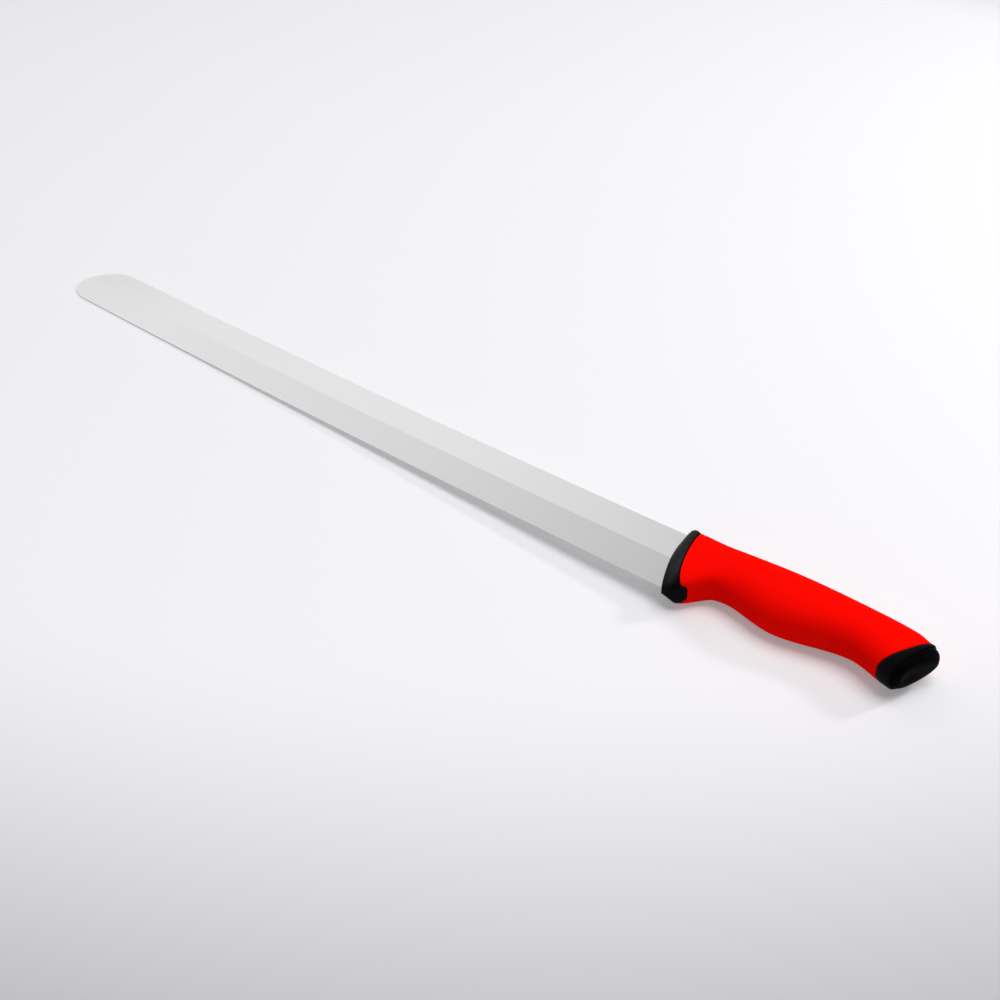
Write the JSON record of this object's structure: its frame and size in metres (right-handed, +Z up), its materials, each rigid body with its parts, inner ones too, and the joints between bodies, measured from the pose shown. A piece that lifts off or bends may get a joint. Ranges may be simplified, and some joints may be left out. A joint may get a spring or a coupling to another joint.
{
  "type": "doner kebab knife",
  "caption": "Long flat round-nosed slicing knife with a ground edge and a two-material moulded handle, for shaving meat from a vertical spit.",
  "frame": {"origin": "middle of the knife's box at its bottom, where the handle lies on its side", "axes": "+X along the blade from the tip to the butt, +Y from the cutting edge to the spine, +Z up through the thickness"},
  "size_m": [0.6278, 0.0498, 0.0214],
  "materials": {
    "blade_steel": "finely ground satin stainless steel",
    "black_plastic": "satin black moulded plastic",
    "red_grip": "matte soft-touch red",
    "black_plug": "satin black moulded plastic"
  },
  "bodies": {
    "root": {"blade": "blade_steel", "handle_core": "black_plastic", "grip": "red_grip", "butt_plug": "black_plug"}
  },
  "joints": []
}
